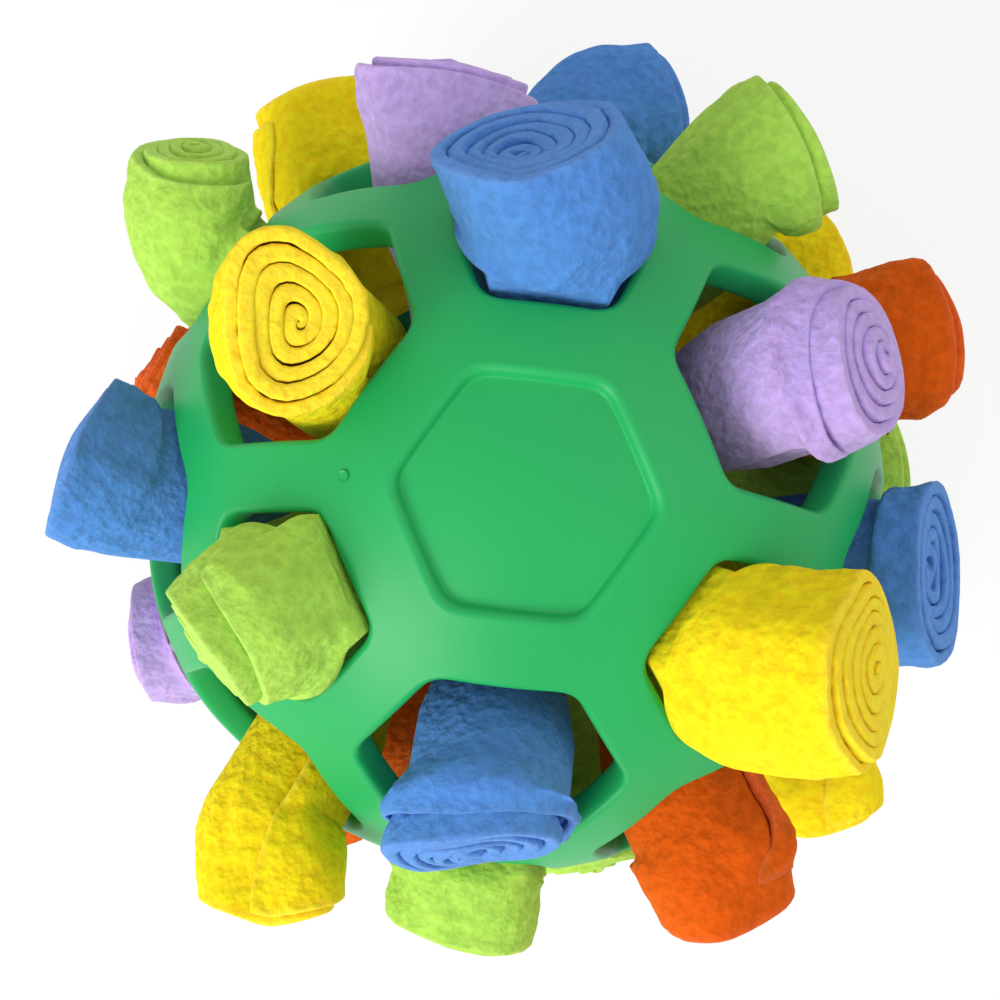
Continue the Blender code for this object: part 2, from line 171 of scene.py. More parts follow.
# One row a strip, in the solids' order: colour, lean up and lean clockwise round the ball in degrees, and
# shares of the stand-out, of the head's and the shaft's width and of the step from turn to turn. Then what
# the looks add: where the free end lies at the tip, in degrees anticlockwise from up, how far its edge is
# set back in mm, how far it is lifted in layers, how far the tip is squashed oval, at what angle it is then
# widest, and by how many degrees the tip is skewed, so that its upper side stands out and so that its
# anticlockwise side does.
STRIPS = (
    ("lime", -26, -16, 0.66, 0.97, 1.00, 0.7, 75, 5.5, 0.06, 0.06, 20, 13, 0),
    ("yellow", -10, -32, 1.04, 1.07, 1.00, 0.8, 200, 2.0, 0.14, 0.05, 80, 0, 0),
    ("blue", -12, -34, 0.85, 1.05, 1.00, -1.2, 180, 1.0, 0.12, 0.10, 40, 5, -13),
    ("yellow", 52, 0, 1.03, 0.89, 1.00, -0.8, 30, 2.5, 0.06, 0.10, 135, 0, 0),
    ("blue", -17, 7, 0.40, 1.03, 1.00, 0.7, 95, 6.0, 0.04, 0.10, 90, 7, 18),
    ("purple", -11, 6, 0.55, 0.99, 1.00, 1.4, 75, 5.5, 0.32, 0.10, 60, -4, 0),
    ("purple", 8, 24, 0.53, 0.97, 1.00, 0.8, 110, 2.5, 0.14, 0.17, 90, 14, 0),
    ("blue", 18, 23, 0.71, 0.95, 1.00, -0.8, 160, 2.0, 0.06, 0.12, 90, 24, 0),
    ("yellow", 12, -44, 0.97, 0.86, 1.00, 0.8, 30, 2.0, 0.08, 0.13, 120, 24, 0),
    ("orange", -17, 16, 0.79, 1.01, 1.00, 0.7, 330, 6.0, 0.14, 0.10, 30, 5, 0),
    ("blue", 14, -17, 0.58, 1.07, 1.00, -0.9, 190, 1.5, 0.10, 0.08, 75, 0, 0),
    ("lime", 5, 33, 0.77, 0.90, 1.00, 0.8, 90, 4.0, 0.10, 0.14, 90, 16, 0),
    ("lime", 7, 53, 1.04, 0.86, 0.78, 0.7, 60, 3.0, 0.14, 0.08, 15, -14, 0),
    ("lime", -13, 3, 0.51, 0.91, 1.00, 0.9, 200, 2.0, 0.08, 0.14, 90, 8, 0),
    ("orange", -3, 10, 0.72, 0.94, 1.00, 0.8, 120, 3.0, 0.10, 0.12, 90, 14, 0),
    ("purple", 22, 13, 0.50, 0.87, 1.00, 0.9, 250, 2.0, 0.08, 0.07, 65, 10, 0),
    ("yellow", -3, 35, 1.25, 0.88, 1.00, -0.8, 20, 2.0, 0.08, 0.06, 5, 0, 0),
    ("blue", -11, 62, 1.38, 0.86, 0.78, 0.8, 140, 3.0, 0.10, 0.07, 110, 0, 0),
    ("yellow", 16, 16, 1.16, 1.02, 1.00, 0.8, 320, 4.0, 0.14, 0.08, 45, 0, 0),
    ("orange", 30, 14, 0.50, 0.96, 1.00, 0.9, 80, 2.0, 0.10, 0.07, 85, 0, 0),
    ("orange", -14, 3, 0.70, 0.87, 1.00, -0.8, 190, 3.0, 0.08, 0.06, 25, 0, 0),
    ("lime", 32, 5, 0.42, 0.94, 1.00, 0.8, 270, 2.0, 0.10, 0.06, 70, 0, 0),
    ("lime", 23, -5, 0.61, 1.00, 1.00, 0.9, 100, 2.0, 0.08, 0.05, 130, 0, 0),
    ("yellow", 15, 14, 0.84, 1.00, 1.00, 0.8, 210, 2.0, 0.10, 0.06, 55, 0, 0),
    ("orange", 0, 0, 0.80, 1.00, 1.00, -0.7, 310, 0.5, 0.04, 0.03, 0, 0, 0),
    ("purple", 0, 0, 0.80, 1.00, 1.00, -0.7, 20, 0.5, 0.04, 0.03, 40, 0, 0),
    ("purple", 0, 0, 0.80, 1.00, 1.00, -0.7, 90, 0.5, 0.04, 0.03, 80, 0, 0),
    ("blue", 0, 0, 0.70, 1.00, 1.00, -0.7, 160, 0.5, 0.04, 0.03, 20, 0, 0),
    ("purple", 0, 0, 0.70, 1.00, 1.00, -0.7, 230, 0.5, 0.04, 0.03, 60, 0, 0),
    ("orange", 0, 0, 0.70, 1.00, 1.00, -0.7, 300, 0.5, 0.04, 0.03, 100, 0, 0),
)

SHARED = 6  # how many numbers of a row the solids share
MM = 1000  # in a metre

# Colours as a screen shows them, from 0 to 255
RUBBER = (28, 166, 88)
FLEECE_COLOURS = {
    "yellow": (254, 218, 24),
    "blue": (82, 136, 206),
    "purple": (188, 162, 222),
    "lime": (170, 214, 86),
    "orange": (220, 92, 14),
}
LINT = (0.8, 0.85, 0.8, 1)  # as light, from 0 to 1
PALE = 0.10  # how much of white the cut fibres have
FIBRE_SHARE = 0.15  # of the fibres in the fleece's relief, beside the tufts

# The studio
WHITE = (1, 1, 1, 1)
PAPER = (0.86, 0.86, 0.86, 1)
PAPER_SIZE = 6
PAPER_GLOW = 1.05  # how bright its white is to the camera
PAPER_WHITE = 0.72  # how much of that white the camera sees, over the lit paper with its shadow
ROOM_LIGHT = 0.67
KEY_PLACE = (-0.62, -0.82, 0.80)
KEY_WIDTH = 0.7
KEY_POWER = 12.7
FILL_PLACE = (0.8, 0.4, 0.9)
FILL_WIDTH = 0.9
FILL_POWER = 2.2

# The camera of the photo, as it was fitted to the lattice
SENSOR = 36  # mm wide
LENS = 56.76  # mm
NEAREST = 0.01
CAMERA_FROM_BALL = Vector((-0.008949, -0.003865, 0.282889))
CAMERA_TURN = (0.009412, -0.025251, 0.115020)


# Selecting

def only(piece):
    """Leaves the piece alone selected and active."""
    bpy.ops.object.select_all(action="DESELECT")
    piece.select_set(True)
    bpy.context.view_layer.objects.active = piece


def edit(piece):
    """Opens the piece in edit mode."""
    only(piece)
    bpy.ops.object.mode_set(mode="EDIT")


def leave():
    """Leaves edit mode."""
    bpy.ops.object.mode_set(mode="OBJECT")


def pick(piece, kind, wanted):
    """In edit mode, selects the edges or the faces that are wanted."""
    bpy.ops.mesh.select_mode(type={"edges": "EDGE", "faces": "FACE"}[kind])
    bpy.ops.mesh.select_all(action="DESELECT")
    mesh = bmesh.from_edit_mesh(piece.data)
    for part in getattr(mesh, kind):
        if wanted(part):
            part.select_set(True)
    mesh.select_flush_mode()
    bmesh.update_edit_mesh(piece.data)


def modify(piece, kind, **settings):
    """Adds a modifier and applies it."""
    only(piece)
    made = piece.modifiers.new(kind.title(), kind)
    for name, value in settings.items():
        setattr(made, name, value)
    bpy.ops.object.modifier_apply(modifier=made.name)


# The rubber ball

def truncated_ball():
    """Twelve five-sided and twenty six-sided faces: one of six up, and one of five beside it toward +Y."""
    bpy.ops.object.select_all(action="DESELECT")
    bpy.ops.mesh.primitive_ico_sphere_add(subdivisions=1, radius=BALL_RADIUS)
    ball = bpy.context.object
    ball.name = ball.data.name = "lattice_ball"
    edit(ball)
    bpy.ops.mesh.select_all(action="SELECT")
    bpy.ops.mesh.bevel(offset_type="PERCENT", offset_pct=100 / 3, affect="VERTICES", segments=1)
    leave()
    grow = BALL_RADIUS / ball.data.vertices[0].co.length
    sixes = [f for f in ball.data.polygons if len(f.vertices) == 6]
    up = Vector(sixes[0].center).normalized()
    fives = [f for f in ball.data.polygons if len(f.vertices) == 5]
    beside = max(fives, key=lambda f: Vector(f.center).normalized().dot(up))
    ahead = Vector(beside.center)
    ahead = (ahead - up * ahead.dot(up)).normalized()
    ball.matrix_world = Matrix((ahead.cross(up), ahead, up)).to_4x4() @ Matrix.Scale(grow, 4)
    only(ball)
    bpy.ops.object.transform_apply(location=True, rotation=True, scale=True)
    return ball


def ring_order(face):
    """Sorts faces from the top down, and in each ring anticlockwise from just past +Y."""
    middle = Vector(face.center).normalized()
    clockwise = round(math.degrees(math.atan2(middle.x, middle.y)), 1) % 360
    return -round(middle.z, 3), -clockwise


class Opening:
    """A face of the lattice, seen from the ball's middle."""

    def __init__(self, ball, face):
        corners = [ball.data.vertices[v].co.copy() for v in face.vertices]
        sides = len(corners)
        self.middle = sum(corners, Vector()) / sides
        self.out = self.middle.normalized()
        self.spokes = [(c - self.middle).normalized() for c in corners]
        self.across = [(a + b).normalized() for a, b in zip(self.spokes, self.spokes[1:] + self.spokes[:1])]
        self.apothem = (corners[0] - self.middle).length * math.cos(math.pi / sides)
        self.slope = math.atan((self.apothem - BAR_HALF) / self.middle.length)
        self.walls = [a * math.cos(self.slope) - self.out * math.sin(self.slope) for a in self.across]


# What the faces are, while the ball is shaped
BAR, PANEL, OPEN = 0, 1, 2


def beside_bar(edge):
    """Whether an edge runs between a bar and an opening or a closed panel."""
    kinds = {f.material_index for f in edge.link_faces}
    return BAR in kinds and len(kinds) == 2


def round_corners(ball, openings):
    """In edit mode, bends the edges of openings and closed panels round their corners."""
    pick(ball, "edges", beside_bar)
    bpy.ops.mesh.subdivide(number_cuts=2)
    mesh = bmesh.from_edit_mesh(ball.data)
    edge_verts = {v for e in mesh.edges if beside_bar(e) for v in e.verts}
    radius = CORNER_RADIUS / BALL_RADIUS
    for opening in openings:
        own = [v for v in edge_verts if opening is max(openings, key=lambda o: v.co.dot(o.out))]
        flats = [v.co / v.co.dot(opening.out) - opening.out for v in own]
        apothem = min(flat.length for flat in flats)
        half = math.pi / len(opening.spokes)
        centre = (apothem - radius) / math.cos(half)
        touch = math.atan2(radius * math.sin(half), centre + radius * math.cos(half))
        for vert, flat in zip(own, flats):
            turn = min(flat.angle(spoke) for spoke in opening.spokes)
            if turn < touch:
                wanted = centre * math.cos(turn) + math.sqrt(radius**2 - (centre * math.sin(turn)) ** 2)
            else:
                wanted = apothem / math.cos(half - turn)
            vert.co = (opening.out + flat * (wanted / flat.length)).normalized() * BALL_RADIUS
    bmesh.update_edit_mesh(ball.data)


def shape_ball(ball, openings, rubber):
    """Rounds the lattice onto the sphere, opens it, sinks the two closed panels and gives it its wall."""
    for kind in (BAR, PANEL, OPEN):
        ball.data.materials.append(rubber)
    edit(ball)
    bpy.ops.mesh.select_mode(type="FACE")
    bpy.ops.mesh.select_all(action="SELECT")
    bpy.ops.mesh.inset(thickness=BAR_HALF, use_individual=True)
    most = BALL_RADIUS * math.cos(CLOSED_WITHIN)
    for face in bmesh.from_edit_mesh(ball.data).faces:
        if face.select:
            face.material_index = PANEL if abs(face.calc_center_median().z) > most else OPEN
    leave()
    modify(ball, "SUBSURF", subdivision_type="SIMPLE", levels=2, render_levels=2)
    modify(ball, "CAST", cast_type="SPHERE", factor=1, size=BALL_RADIUS, use_radius_as_size=False)
    edit(ball)
    round_corners(ball, openings)
    pick(ball, "faces", lambda f: f.material_index == OPEN)
    bpy.ops.mesh.delete(type="FACE")
    pick(ball, "faces", lambda f: f.material_index == PANEL)
    down, inward = 0, 0
    for next_down, next_inward in PANEL_STEPS:
        bpy.ops.mesh.extrude_region_move(TRANSFORM_OT_translate={"value": (0, 0, 0)})
        sink = (BALL_RADIUS - next_down) / (BALL_RADIUS - down)
        shrink = (PANEL_REACH - next_inward) / (PANEL_REACH - inward)
        bpy.ops.transform.resize(value=(sink * shrink, sink * shrink, sink), center_override=(0, 0, 0))
        down, inward = next_down, next_inward
    leave()
    modify(ball, "SOLIDIFY", thickness=BALL_WALL, offset=-1, use_rim=True)
    sharp = {"limit_method": "ANGLE", "angle_limit": SHARP}
    modify(ball, "BEVEL", width=LIP, segments=2, use_clamp_overlap=False, **sharp)
    modify(ball, "SUBSURF", levels=1, render_levels=1)
    for face in ball.data.polygons:
        face.material_index = BAR
    ball.data.materials.clear()
    ball.data.materials.append(rubber)
    ball.location = BALL_MIDDLE
    only(ball)
    bpy.ops.object.transform_apply(location=True, rotation=True, scale=True)
    bpy.ops.object.shade_smooth()


def add_mould_mark(ball, rubber):
    """Puts the mould's small dished mark on its bar and joins it to the ball."""
    bpy.ops.object.select_all(action="DESELECT")
    high = MARK_RISE + MARK_ROOT
    bpy.ops.mesh.primitive_cylinder_add(vertices=MARK_SIDES, radius=MARK_RADIUS, depth=high)
    mark = bpy.context.object
    edit(mark)
    pick(mark, "faces", lambda f: f.normal.z > MARK_TOP)
    bpy.ops.mesh.inset(thickness=MARK_RIM)
    bpy.ops.transform.translate(value=(0, 0, -MARK_DISH))
    leave()
    modify(mark, "BEVEL", width=MARK_ROUNDING, segments=2, limit_method="ANGLE", angle_limit=MARK_SHARP)
    sideways = math.sin(MARK_DOWN)
    out = Vector((sideways * math.sin(MARK_ROUND), sideways * math.cos(MARK_ROUND), math.cos(MARK_DOWN)))
    mark.location = BALL_MIDDLE + out * (BALL_RADIUS + (MARK_RISE - MARK_ROOT) / 2)
    mark.rotation_euler = out.to_track_quat("Z", "Y").to_euler()
    mark.data.materials.append(rubber)
    only(mark)
    bpy.ops.object.transform_apply(location=True, rotation=True, scale=True)
    bpy.ops.object.shade_smooth()
    only(ball)
    mark.select_set(True)
    bpy.ops.object.join()


# The wound strips

def eased(share):
    """From 0 to 1 with a soft start and end."""
    share = np.clip(share, 0, 1)
    return share * share * (3 - 2 * share)


def ripples(points, wave, seed, count=RIPPLE_WAYS):
    """Smooth bumps from about -1 to 1, a wave apart, the same ones each time."""
    chance = np.random.default_rng(seed)
    ways = chance.normal(size=(count, points.shape[-1]))
    ways *= (math.tau / wave / np.linalg.norm(ways, axis=1) * chance.uniform(*RIPPLE_SPREAD, count))[:, None]
    return np.sin(points @ ways.T + chance.uniform(0, math.tau, count)).sum(-1) / math.sqrt(count)


def thick_share(inward):
    """How thick a cut edge is, from its rim at 0 to its full thickness at 1."""
    inward = np.clip(inward, 0, 1)
    return BLUNT_SHARE + (1 - BLUNT_SHARE) * np.sqrt(1 - (1 - inward) ** 2)


class Strip:
    """A wound strip in one opening, in its own frame: Z is the line that it slides out along."""

    def __init__(self, number, opening, form, looks):
        lean_up, lean_round, out_share, head_share, shaft_share, step_share = form
        free_end, set_back, self.lift, self.oval, oval_turn, skew_up, skew_round = looks
        self.number = number
        self.opening = opening
        self.head = HEAD_RADIUS * head_share
        self.step = TURN_STEP * step_share * STEP_SHARE
        self.set_back = set_back / MM
        self.free_end = math.radians(free_end)
        self.oval_turn = math.radians(oval_turn)
        self.skew_up = math.tan(math.radians(skew_up))
        self.skew_round = math.tan(math.radians(skew_round))
        self.standing = opening.out.z < STANDING

        # The widest shaft that the opening takes, and the bend
        lean = math.radians(math.hypot(lean_up, lean_round))
        wall_middle = (BALL_RADIUS - BALL_WALL / 2) * math.cos(opening.slope)
        seat_room = (BALL_RADIUS - BALL_WALL) * math.sin(opening.slope) - SEAT_GAP / math.cos(opening.slope)
        widest = min(SHAFT_RADIUS, seat_room, self.head)
        self.shaft = widest * shaft_share
        self.bend_radius = widest * BEND_SHARE
        self.fill = self.shaft * (FILL_SHARE if len(opening.spokes) == 5 else 1)
        free = seat_room > SHAFT_RADIUS
        shaft_lean = min(lean * SHAFT_LEAN_SHARE, MOST_SHAFT_LEAN) if free else 0
        self.bend = lean - shaft_lean

        # The way that it leans, clockwise seen from above the ball, and its own frame
        up = (Vector((0, 0, 1)) - opening.out * opening.out.z).normalized()
        clockwise = opening.out.cross(up)
        toward = (up * lean_up + clockwise * lean_round).normalized() if lean else up
        self.axis = opening.out * math.cos(shaft_lean) + toward * math.sin(shaft_lean)
        first = (up - self.axis * up.dot(self.axis)).normalized()
        self.turned = Matrix((first, self.axis.cross(first), self.axis)).transposed()
        flat_toward = self.turned.transposed() @ toward
        self.lean_angle = math.atan2(flat_toward.y, flat_toward.x)

        # Its seat against the bar that it leans on, from which its lengths are measured
        self.neck = BALL_WALL / 2 + LIP + self.shaft * math.tan(shaft_lean)
        seat = max(opening.across, key=(toward + clockwise * NUDGE).dot)
        self.middle = opening.out * wall_middle
        self.middle += seat * self.room_beside(seat)
        self.tip = BALL_RADIUS + STAND_OUT * out_share - self.middle.dot(opening.out)

    def room_beside(self, seat):
        """How far the shaft can move sideways before it meets the bar on that side."""
        slope = self.opening.slope
        tight = BALL_RADIUS - BALL_WALL
        seat_way = self.turned.transposed() @ seat
        reach = self.shaft * math.hypot(seat_way.x, seat_way.y)
        room = []
        for level in (tight, BALL_RADIUS):
            height = level * math.cos(slope)
            limit = height * math.tan(slope) - SEAT_GAP / math.cos(slope)
            shift = self.axis * ((height - self.middle.length) / self.axis.dot(self.opening.out))
            room.append(limit - shift.dot(seat) - reach)
        return min(room)

    def line(self, length):
        """For lengths along the strip's roll: the middle points and the tilts of its slices."""
        bend_radius = self.bend_radius
        past = np.maximum(length - self.neck, 0)
        tilt = np.minimum(past / bend_radius, self.bend)
        straight = np.maximum(past - bend_radius * self.bend, 0)
        ahead = bend_radius * (1 - np.cos(tilt)) + straight * np.sin(tilt)
        out = np.minimum(length, self.neck) + bend_radius * np.sin(tilt) + straight * np.cos(tilt)
        return ahead, out, tilt

    def widths(self, length, angle):
        """The roll's radius: crushed at its inner end, squeezed by the bars, and swollen outside."""
        start = self.tip - STRIP_WIDTH
        bulge = self.neck + max(self.bend_radius * self.bend, (self.tip - self.neck) * BULGE_SHARE)
        crushed = min(INNER_RADIUS, self.shaft)
        inner = crushed + (self.fill - crushed) * eased((length - start) / (-self.neck - start)) ** 2
        slow = eased((length - self.neck) / (bulge - self.neck)) ** SLOW_SWELL
        quick = np.sqrt(1 - (1 - np.clip((length - self.neck) / SWELL, 0, 1)) ** 2)
        far = FAR_SIDE - FAR_SIDE * np.cos(angle - self.lean_angle)
        away = eased(far + max(0, NEARLY_STRAIGHT - self.bend))
        head = self.fill + (self.head - self.fill) * (slow + (quick - slow) * away)
        tip = 1 - (1 - TIP_SHARE) * eased((length - bulge) / max(self.tip - bulge, FLEECE))
        radius = np.where(length < -self.neck, inner, head * tip)
        return np.minimum(radius, self.between_bars(length, angle))

    def between_bars(self, length, angle):
        """How far the bars of the opening let the roll reach to each side."""
        turned = np.array(self.turned)
        middles = np.array(self.middle) + length[..., None] * np.array(self.axis)
        ways = np.stack([np.cos(angle), np.sin(angle)], -1) @ turned[:, :2].T
        least = np.full(length.shape, NO_BAR)
        for wall in self.opening.walls:
            ahead = ways @ np.array(wall)
            room = -SEAT_GAP - middles @ np.array(wall)
            held = room / np.maximum(ahead, LEAST_AHEAD)
            least = np.minimum(least, np.where(ahead > LEAST_AHEAD, held, NO_BAR))
        beyond = np.maximum(np.abs(length) - self.neck, 0)
        return least + np.sqrt(beyond * SWELL) * SET_FREE

    def grid(self, turns):
        """The points of the sheet, from the core out and from the inner end to the tip.

        For each point: how many turns it lies in from the free end, and how far along the roll.
        """
        count = math.ceil((turns - 1) * INNER_TURN)
        falls = np.concatenate([
            1 + (turns - 1) * np.arange(count, 0, -1) / count,
            np.arange(OUTER_TURN, 1, -1) / OUTER_TURN,
            LAST_COLUMNS,
        ])
        start = self.tip - STRIP_WIDTH
        outside_rows = math.ceil((self.tip - CUT_EDGE - self.neck) / ROW)
        lengths = np.concatenate([
            [start, start + CUT_EDGE],
            np.linspace(start + INNER_GAP * CUT_EDGE, -self.neck, INNER_ROWS),
            np.linspace(-self.neck, self.neck, OPENING_ROWS)[1:],
            np.linspace(self.neck, self.tip - CUT_EDGE, outside_rows)[1:],
            self.tip - CUT_EDGE * TIP_ROWS,
        ])
        return np.meshgrid(falls, lengths, indexing="ij")

    def relief(self, angle, length, full):
        """How far lumps and tufts, puckers above the opening and folds inside the bend stand out."""
        about = np.stack([full * np.cos(angle), full * np.sin(angle), length], -1)
        lumps = ripples(about, LUMP_WAVE, self.number + LUMP_SEED) * LUMP_RISE
        for wave, ways, rise, seed in TUFTS:
            lumps += (np.abs(ripples(about, wave, self.number + seed, ways)) - TUFT_LEVEL) * rise
        sway = PUCKER_SWAY * ripples(about, PUCKER_WAVE, self.number + PUCKER_SEED)
        puckers = np.cos(PUCKERS * angle + sway) * PUCKER_RISE
        puckers *= np.exp(-(((length - self.neck - PUCKER_PLACE) / PUCKER_REACH) ** 2))
        inside = np.maximum(np.cos(angle - self.lean_angle), 0)
        folds = np.cos(math.tau * (length - self.neck) / FOLD_WAVE) * inside * self.bend * FOLD_RISE
        folds *= eased((self.tip - FOLD_STOP - length) / FOLD_FADE)
        return lumps + puckers + folds

    def calmed(self, angle, length, radius):
        """How much of the relief is left where the inside of a tight bend presses it."""
        inside = np.maximum(np.cos(angle - self.lean_angle), 0)
        in_bend = length < self.neck + self.bend_radius * self.bend
        return np.clip(CALM_FROM - CALM_BY * (inside * radius / self.bend_radius * in_bend), 0, 1)

    def placed(self, reach, angle, place, near_tip):
        """Points at a reach from the roll's line, in the ball: bent over the bar and clear of the rubber."""
        flat = np.stack([reach * np.cos(angle), reach * np.sin(angle)], -1)
        bent = np.stack([ripples(flat, BENT_WAVE, self.number + seed, BENT_WAYS) for seed in BENT_SEEDS], -1)
        flat = flat + bent * (BENT_ASIDE * near_tip)[..., None]
        c, s = math.cos(self.lean_angle), math.sin(self.lean_angle)
        along = flat[..., 0] * c + flat[..., 1] * s
        across = flat[..., 1] * c - flat[..., 0] * s
        ahead, out, tilt = self.line(place)
        ahead = ahead + along * np.cos(tilt)
        z = out - along * np.sin(tilt)
        own = np.stack([c * ahead - s * across, s * ahead + c * across, z], -1)
        return self.clear_of_rubber(own @ np.array(self.turned).T + np.array(self.middle))

    def points(self):
        """The two faces of the strip as grids of points, and how near each point is to a cut edge."""
        turns = (self.head - CORE_RADIUS) / FLEECE
        fall, length = self.grid(turns)
        near_tip = eased((length - self.neck) / (self.tip - self.neck))
        outside = eased((length - self.neck) / RISEN)
        angle = self.free_end + SEAM_SLANT * (near_tip - 1) - fall * math.tau
        radius = self.widths(length, angle)
        full = radius + NAP * outside

        # Where each point lies along the roll
        wave = ripples(fall[..., None], WAVE_TURNS, self.number) * WAVE_RISE
        back = self.set_back * (1 - np.clip(fall, 0, 1)) ** SET_BACK_POWER
        skew = self.skew_up * np.cos(angle) + self.skew_round * np.sin(angle)
        skew = skew * full * (1 - fall / turns)
        place = length + (self.step * fall + wave - back + skew) * near_tip

        # How far out the sheet's outer face lies
        pitch = (full - CORE_RADIUS * radius / self.head) / turns
        end_press = 1 - eased(fall / PRESSED_TURNS)
        edge_press = np.clip(back / PRESSED_EDGE, 0, 1) * (1 - eased((self.tip - length) / PRESSED_EDGE))
        flat_share = 1 - (1 - THIN_SHARE) * np.maximum(end_press, edge_press) * outside
        skin = full - pitch * (fall + 1 - flat_share)
        skin += self.lift * FLEECE * near_tip * (1 - eased(fall / LIFTED_TURNS))
        wide = 1 + self.oval * near_tip * np.cos(2 * (angle - self.oval_turn))
        skin_share = np.clip(skin / radius, 0, 1) ** 2
        moved = self.relief(angle, length, full) * outside * skin_share * self.calmed(angle, length, radius)
        upper = skin * wide + moved

        # How thick the sheet is under it
        tight = ripples(np.stack([fall, length * TIGHT_ACROSS], -1), TIGHT_TURNS, self.number + TIGHT_SEED)
        thick = pitch * flat_share * (1 + TIGHT_SHARE * np.clip(tight, *TIGHT_RANGE))
        from_tip = self.tip - length
        from_end = fall * math.tau * radius
        rounded = thick_share(from_tip / CUT_EDGE) * thick_share(from_end / CUT_EDGE)
        lower = np.maximum(upper - thick, 0)
        middle = (upper + lower) / 2
        half_thick = (upper - lower) / 2
        faces = []
        for side in (1, -1):
            reach = np.maximum(middle + side * half_thick * rounded, LEAST_REACH)
            faces.append(self.placed(reach, angle, place, near_tip))
        cut = np.maximum(1 - from_tip / FUZZ_EDGE, 1 - from_end / FUZZ_EDGE)
        return faces, np.clip(cut, 0, 1)

    def clear_of_rubber(self, points):
        """Moves points that would be in a bar back into the opening, or out over the bar."""
        reach = np.linalg.norm(points, axis=-1)
        over = BALL_RADIUS + SEAT_GAP - reach
        under = reach - (BALL_RADIUS - BALL_WALL - SEAT_GAP)
        past = np.full(reach.shape, -1.0)
        way = np.zeros(points.shape)
        for wall in self.opening.walls:
            beyond = points @ np.array(wall) + SEAT_GAP
            way = np.where((beyond > past)[..., None], np.array(wall), way)
            past = np.maximum(past, beyond)
        inside = (past > 0) & (over > 0) & (under > 0)
        aside = inside & (past <= over)
        outward = inside & (past > over)
        points = points - way * np.where(aside, past, 0)[..., None]
        return points * np.where(outward, 1 + over / reach, 1)[..., None]

    def make(self, name):
        """The strip's mesh object, in place, and the length of the strip when it is laid flat."""
        faces, cut = self.points()
        faces = [face + np.array(BALL_MIDDLE) for face in faces]
        if self.standing:
            # Its tip reaches just below the floor and is cut flat on it
            lowest = min(face[..., 2].min() for face in faces)
            self.tip += (lowest + FLOOR_CUT) / -self.axis.z
            faces, cut = self.points()
            faces = [face + np.array(BALL_MIDDLE) for face in faces]
            for face in faces:
                face[..., 2] = np.maximum(face[..., 2], 0)
        columns, rows = cut.shape
        index = np.arange(columns * rows).reshape(columns, rows)
        half = columns * rows
        a, b, c, d = index[:-1, :-1], index[1:, :-1], index[1:, 1:], index[:-1, 1:]
        outer = np.stack([a, b, c, d], -1).reshape(-1, 4)
        inner = np.stack([d, c, b, a], -1).reshape(-1, 4) + half
        rim = np.concatenate([index[:, 0], index[-1, 1:], index[-2::-1, -1], index[0, -2:0:-1]])
        after = np.roll(rim, -1)
        edges = np.stack([after, rim, rim + half, after + half], -1)
        mesh = bpy.data.meshes.new(name)
        verts = np.concatenate([face.reshape(-1, 3) for face in faces])
        mesh.from_pydata(verts, [], np.concatenate([outer, inner, edges]))
        marked = mesh.attributes.new("cut_edge", "FLOAT", "POINT")
        marked.data.foreach_set("value", np.tile(cut.ravel(), 2).astype(np.float32))
        mesh.shade_smooth()
        piece = bpy.data.objects.new(name, mesh)
        bpy.context.scene.collection.objects.link(piece)
        long = math.pi * (self.head**2 - CORE_RADIUS**2) / FLEECE
        return piece, long


# Finishes

def linear(screen):
    """A screen's colour as light, by the sRGB curve."""
    return tuple(((c / 255 + 0.055) / 1.055) ** 2.4 for c in screen) + (1,)


def shade(colour, by):
    """A colour made lighter or darker."""
    return tuple(min(c * by, 1) for c in colour[:3]) + (1,)


